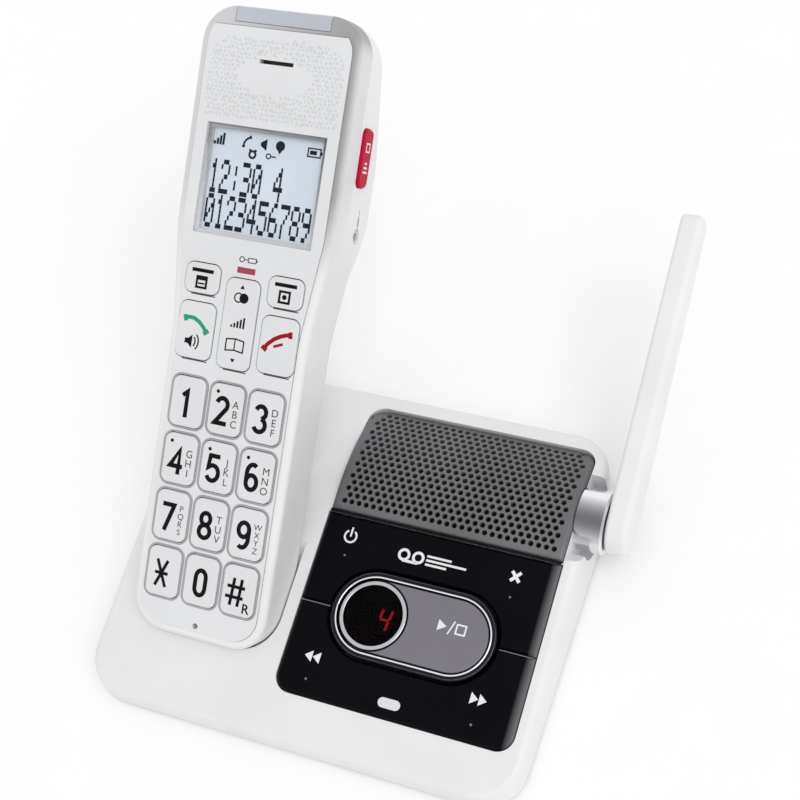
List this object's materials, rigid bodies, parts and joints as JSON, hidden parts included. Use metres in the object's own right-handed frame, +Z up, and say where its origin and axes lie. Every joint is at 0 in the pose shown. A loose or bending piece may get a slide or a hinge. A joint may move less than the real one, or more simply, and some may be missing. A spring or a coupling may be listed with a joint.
{
  "type": "answering machine",
  "caption": "Desk answering machine with a wedge-shaped base, rocking key panel, speaker grille, swinging paddle antenna and a cordless big-button handset lying in its cradle.",
  "frame": {"origin": "on the table under the middle of the base case, 1 mm below its flat underside", "axes": "+X to the user's right, +Y to the back, +Z up"},
  "size_m": [0.1527, 0.1819, 0.1258],
  "materials": {
    "white_plastic": "satin moulded",
    "faceplate_plastic": "satin moulded",
    "key_plastic": "satin with printed marks",
    "black_gloss": "polished",
    "dark_plastic": "matt moulded",
    "grille_plastic": "fine matt",
    "gunmetal_key": "metallic paint",
    "smoked_chrome": "plated, dark",
    "bright_chrome": "plated",
    "display_glass": "clear, smoked",
    "digit_red": "lit digit on black",
    "lcd_glass": "clear",
    "smoke_lens": "translucent blue-grey",
    "pale_lens": "translucent white",
    "red_plastic": "translucent red",
    "foot_rubber": "matt",
    "key_rubber": "matt",
    "screw_steel": "zinc plated",
    "contact_metal": "gold plated",
    "board_green": "lacquered board",
    "battery_wrap": "shrink wrap"
  },
  "bodies": {
    "base": {"base_top_shell": "white_plastic", "base_bottom_cover": "white_plastic", "rubber_feet": "foot_rubber", "case_screws": "screw_steel", "panel_tray": "dark_plastic", "base_circuit_board": "board_green", "tact_switches": "dark_plastic", "capsule_ring": "smoked_chrome", "display_ring": "smoked_chrome", "display_window": "display_glass", "digit_display": "digit_red", "speaker_grille": "grille_plastic", "loudspeaker": "dark_plastic", "antenna_knuckle": "bright_chrome", "antenna_pin": "screw_steel", "line_socket": "dark_plastic", "power_jack": "dark_plastic", "charging_contacts": "contact_metal", "cradle_arms": "white_plastic"},
    "lower_rocker": {"lower_key_plate": "black_gloss", "in_use_lens": "pale_lens"},
    "upper_rocker": {"upper_key_plate": "black_gloss"},
    "play_key": {"play_stop_key": "gunmetal_key"},
    "antenna": {"antenna": "white_plastic"},
    "handset": {"handset_front_shell": "white_plastic", "handset_back_shell": "white_plastic", "faceplate": "faceplate_plastic", "lcd_window": "lcd_glass", "lcd_module": "dark_plastic", "ringer_lens": "smoke_lens", "indicator_lens": "red_plastic", "earpiece_receiver": "dark_plastic", "microphone": "dark_plastic", "key_mat": "key_rubber", "handset_circuit_board": "board_green", "battery_pack": "battery_wrap", "battery_springs": "contact_metal", "handset_screws": "screw_steel", "handset_charge_contacts": "contact_metal", "ringer_speaker": "dark_plastic", "headset_socket": "dark_plastic"},
    "battery_door": {"battery_door": "white_plastic"},
    "nav_rocker": {"nav_key": "key_plastic"},
    "boost_button": {"boost_key": "red_plastic"},
    "key_1_button": {"key_1": "key_plastic"},
    "key_2_button": {"key_2": "key_plastic"},
    "key_3_button": {"key_3": "key_plastic"},
    "key_4_button": {"key_4": "key_plastic"},
    "key_5_button": {"key_5": "key_plastic"},
    "key_6_button": {"key_6": "key_plastic"},
    "key_7_button": {"key_7": "key_plastic"},
    "key_8_button": {"key_8": "key_plastic"},
    "key_9_button": {"key_9": "key_plastic"},
    "key_star_button": {"key_star": "key_plastic"},
    "key_0_button": {"key_0": "key_plastic"},
    "key_hash_button": {"key_hash": "key_plastic"},
    "talk_key_button": {"talk_key": "key_plastic"},
    "end_key_button": {"end_key": "key_plastic"},
    "soft_key_left_button": {"soft_key_left": "key_plastic"},
    "soft_key_right_button": {"soft_key_right": "key_plastic"}
  },
  "joints": [
    {"name": "handset_lift", "type": "slide", "parent": "base", "child": "handset", "axis": [0, 0, 1], "range_m": [0, 0.15]},
    {"name": "battery_door_removal", "type": "slide", "parent": "handset", "child": "battery_door", "axis": [0, 0.5736, -0.8192], "range_m": [0, 0.014]},
    {"name": "key_1_press", "type": "slide", "parent": "handset", "child": "key_1_button", "axis": [0, 0.5736, -0.8192], "range_m": [0, 0.0006], "stiffness_N_per_m": 800},
    {"name": "key_2_press", "type": "slide", "parent": "handset", "child": "key_2_button", "axis": [0, 0.5736, -0.8192], "range_m": [0, 0.0006], "stiffness_N_per_m": 800},
    {"name": "key_3_press", "type": "slide", "parent": "handset", "child": "key_3_button", "axis": [0, 0.5736, -0.8192], "range_m": [0, 0.0006], "stiffness_N_per_m": 800},
    {"name": "key_4_press", "type": "slide", "parent": "handset", "child": "key_4_button", "axis": [0, 0.5736, -0.8192], "range_m": [0, 0.0006], "stiffness_N_per_m": 800},
    {"name": "key_5_press", "type": "slide", "parent": "handset", "child": "key_5_button", "axis": [0, 0.5736, -0.8192], "range_m": [0, 0.0006], "stiffness_N_per_m": 800},
    {"name": "key_6_press", "type": "slide", "parent": "handset", "child": "key_6_button", "axis": [0, 0.5736, -0.8192], "range_m": [0, 0.0006], "stiffness_N_per_m": 800},
    {"name": "key_7_press", "type": "slide", "parent": "handset", "child": "key_7_button", "axis": [0, 0.5736, -0.8192], "range_m": [0, 0.0006], "stiffness_N_per_m": 800},
    {"name": "key_8_press", "type": "slide", "parent": "handset", "child": "key_8_button", "axis": [0, 0.5736, -0.8192], "range_m": [0, 0.0006], "stiffness_N_per_m": 800},
    {"name": "key_9_press", "type": "slide", "parent": "handset", "child": "key_9_button", "axis": [0, 0.5736, -0.8192], "range_m": [0, 0.0006], "stiffness_N_per_m": 800},
    {"name": "key_star_press", "type": "slide", "parent": "handset", "child": "key_star_button", "axis": [0, 0.5736, -0.8192], "range_m": [0, 0.0006], "stiffness_N_per_m": 800},
    {"name": "key_0_press", "type": "slide", "parent": "handset", "child": "key_0_button", "axis": [0, 0.5736, -0.8192], "range_m": [0, 0.0006], "stiffness_N_per_m": 800},
    {"name": "key_hash_press", "type": "slide", "parent": "handset", "child": "key_hash_button", "axis": [0, 0.5736, -0.8192], "range_m": [0, 0.0006], "stiffness_N_per_m": 800},
    {"name": "talk_key_press", "type": "slide", "parent": "handset", "child": "talk_key_button", "axis": [0, 0.5736, -0.8192], "range_m": [0, 0.0006], "stiffness_N_per_m": 800},
    {"name": "end_key_press", "type": "slide", "parent": "handset", "child": "end_key_button", "axis": [0, 0.5736, -0.8192], "range_m": [0, 0.0006], "stiffness_N_per_m": 800},
    {"name": "soft_key_left_press", "type": "slide", "parent": "handset", "child": "soft_key_left_button", "axis": [0, 0.5736, -0.8192], "range_m": [0, 0.0006], "stiffness_N_per_m": 800},
    {"name": "soft_key_right_press", "type": "slide", "parent": "handset", "child": "soft_key_right_button", "axis": [0, 0.5736, -0.8192], "range_m": [0, 0.0006], "stiffness_N_per_m": 800},
    {"name": "nav_key_rock", "type": "hinge", "parent": "handset", "child": "nav_rocker", "pos_m": [-0.0366, 0.04406, 0.0724], "axis": [1, 0, 0], "range_deg": [-2, 2], "stiffness_Nm_per_rad": 0.3},
    {"name": "boost_key_press", "type": "slide", "parent": "handset", "child": "boost_button", "axis": [-1, 0, 0], "range_m": [0, 0.0006], "stiffness_N_per_m": 800},
    {"name": "lower_plate_rock", "type": "hinge", "parent": "base", "child": "lower_rocker", "pos_m": [0.0285, -0.0281, 0.01277], "axis": [0, 0.9848, 0.1736], "range_deg": [-1, 1], "stiffness_Nm_per_rad": 1.5},
    {"name": "upper_plate_rock", "type": "hinge", "parent": "base", "child": "upper_rocker", "pos_m": [0.0285, -0.00052, 0.01763], "axis": [0, 0.9848, 0.1736], "range_deg": [-1, 1], "stiffness_Nm_per_rad": 1.5},
    {"name": "play_key_press", "type": "slide", "parent": "base", "child": "play_key", "axis": [0, 0.1736, -0.9848], "range_m": [0, 0.0006], "stiffness_N_per_m": 1200},
    {"name": "antenna_swing", "type": "hinge", "parent": "base", "child": "antenna", "pos_m": [0.0787, 0.0319, 0.0172], "axis": [1, 0, 0], "range_deg": [-15, 75]}
  ]
}
